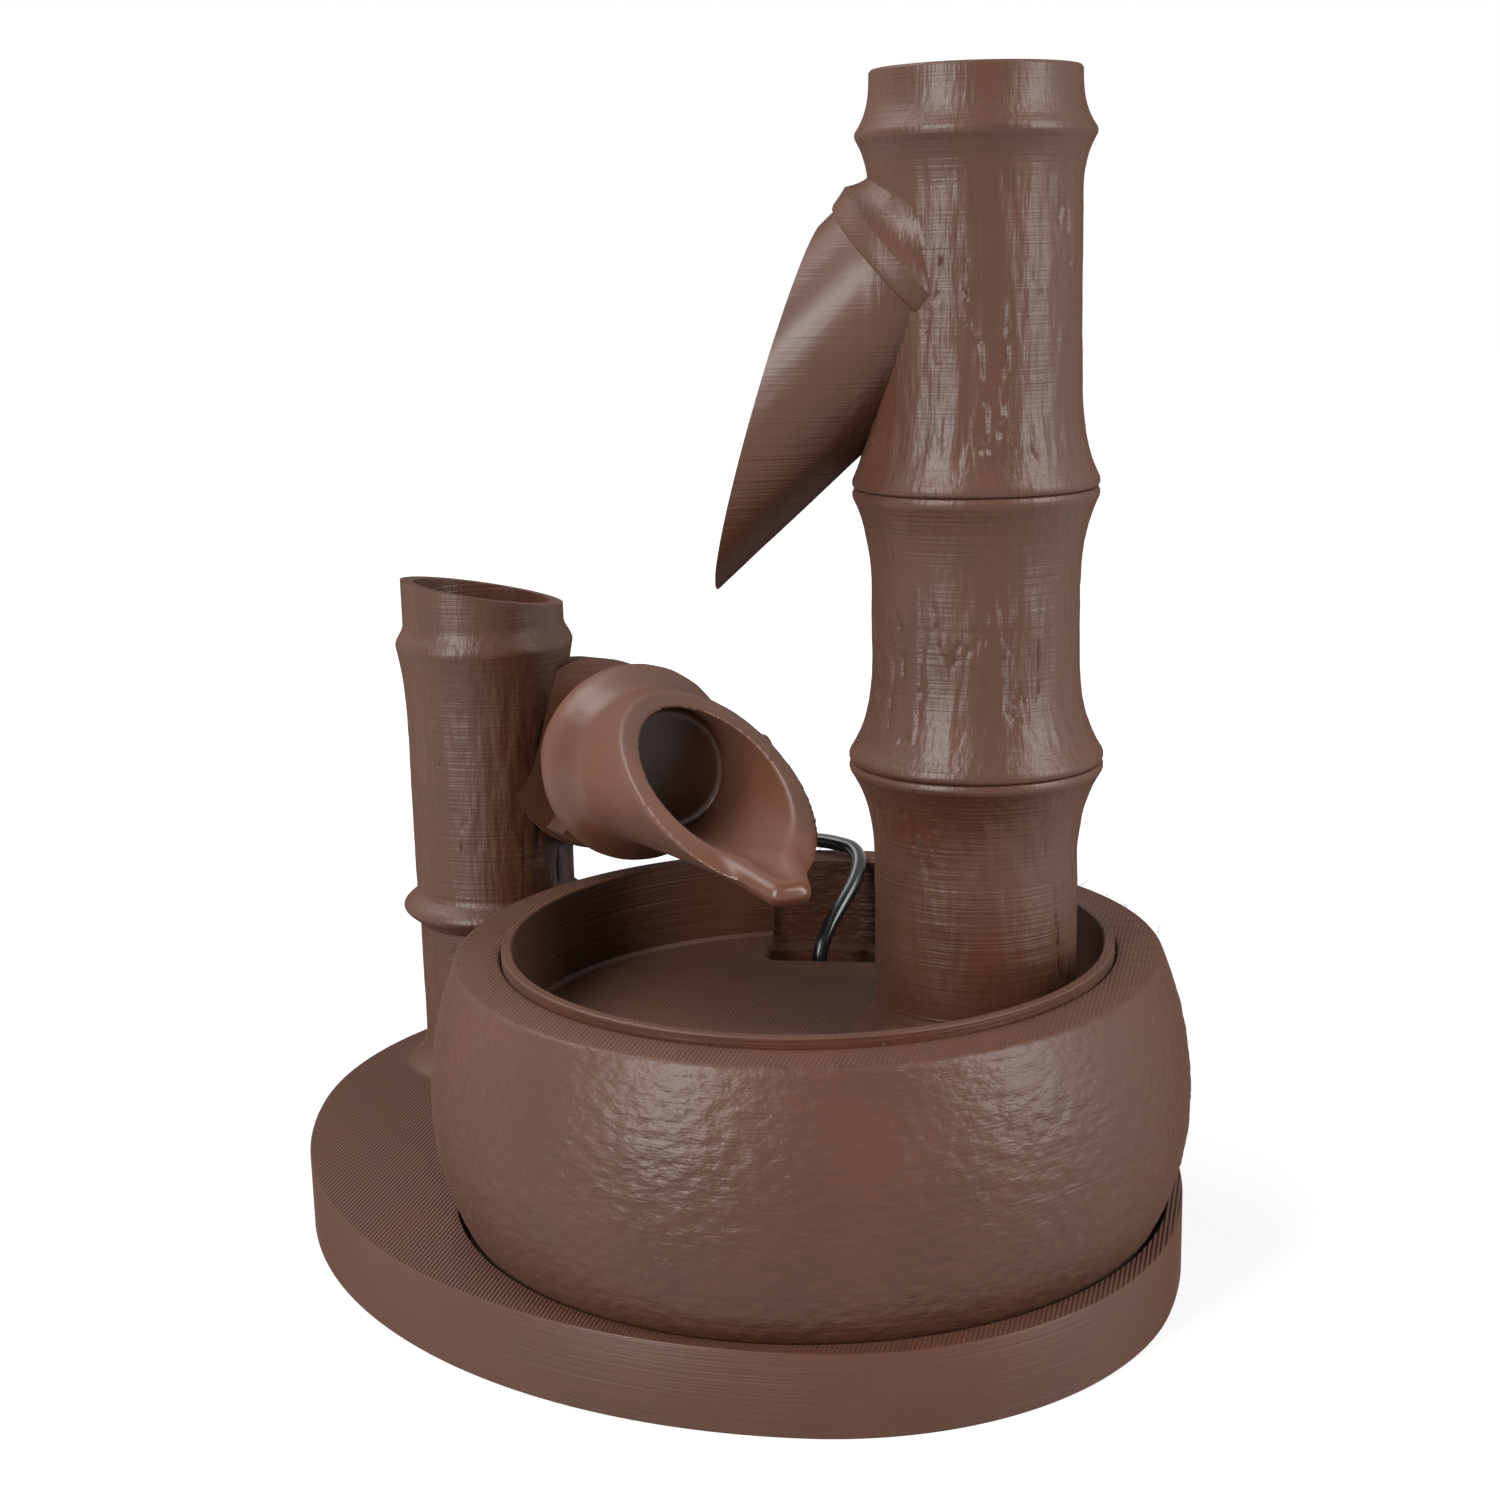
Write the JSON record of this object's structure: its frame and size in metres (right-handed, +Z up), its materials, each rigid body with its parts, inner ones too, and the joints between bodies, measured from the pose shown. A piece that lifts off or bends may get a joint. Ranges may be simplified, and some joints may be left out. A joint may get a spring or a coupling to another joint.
{
  "type": "shishi odoshi",
  "caption": "Desktop shishi odoshi: a bamboo-style spout fills a tipping bamboo cup on a short post, which empties into a round bowl on an egg-shaped base.",
  "frame": {"origin": "on the ground, under the middle of the egg-shaped base plate", "axes": "+Z up; +Y along the plate's length, from the bowl towards the short post; +X towards the plate's right-hand side, where the tall bamboo stands and the cable leaves"},
  "size_m": [0.2212, 0.2136, 0.2363],
  "materials": {
    "brown_print": "satin",
    "steel": "brushed",
    "core_steel": "satin",
    "nylon": "matte",
    "hose": "gloss",
    "pump_black": "satin",
    "copper": "satin",
    "magnet": "matte",
    "white_ceramic": "satin",
    "rubber": "matte",
    "cable": "gloss"
  },
  "bodies": {
    "base": {"base_plate": "brown_print", "bowl": "brown_print", "tray": "brown_print", "riser_hose": "hose", "pump_housing": "pump_black", "pump_back_cap": "pump_black", "pump_volute": "pump_black", "intake_grille": "pump_black", "stator_core": "core_steel", "stator_winding": "copper", "pump_shaft": "white_ceramic", "shaft_bushes": "rubber", "pump_feet": "rubber", "cable_gland": "rubber", "cable_run": "cable", "cable_coil": "cable", "cable_tail": "cable", "plug_body": "cable", "plug_shell": "steel"},
    "sleeve": {"post_sleeve": "brown_print", "tipper_bracket": "brown_print", "pivot_pin": "steel", "thrust_washer": "nylon"},
    "tipper": {"tipper": "brown_print", "counterweight": "steel", "tail_plug": "brown_print"},
    "middle": {"bamboo_middle": "brown_print"},
    "top": {"bamboo_top": "brown_print"},
    "rotor": {"rotor_magnet": "magnet", "impeller": "nylon"}
  },
  "joints": [
    {"name": "sleeve_lift", "type": "slide", "parent": "base", "child": "sleeve", "axis": [0, 0, 1], "range_m": [0, 0.015]},
    {"name": "tipper_pivot", "type": "hinge", "parent": "sleeve", "child": "tipper", "pos_m": [-0.00899, 0.01796, 0.09466], "axis": [0.9877, -0.1564, 0], "range_deg": [0, 26]},
    {"name": "middle_lift", "type": "slide", "parent": "base", "child": "middle", "axis": [0, 0, 1], "range_m": [0, 0.03]},
    {"name": "top_lift", "type": "slide", "parent": "middle", "child": "top", "axis": [0, 0, 1], "range_m": [0, 0.03]},
    {"name": "rotor_spin", "type": "hinge", "parent": "base", "child": "rotor", "pos_m": [0.027, -0.0498, 0.0291], "axis": [0, 1, 0], "continuous": true}
  ]
}
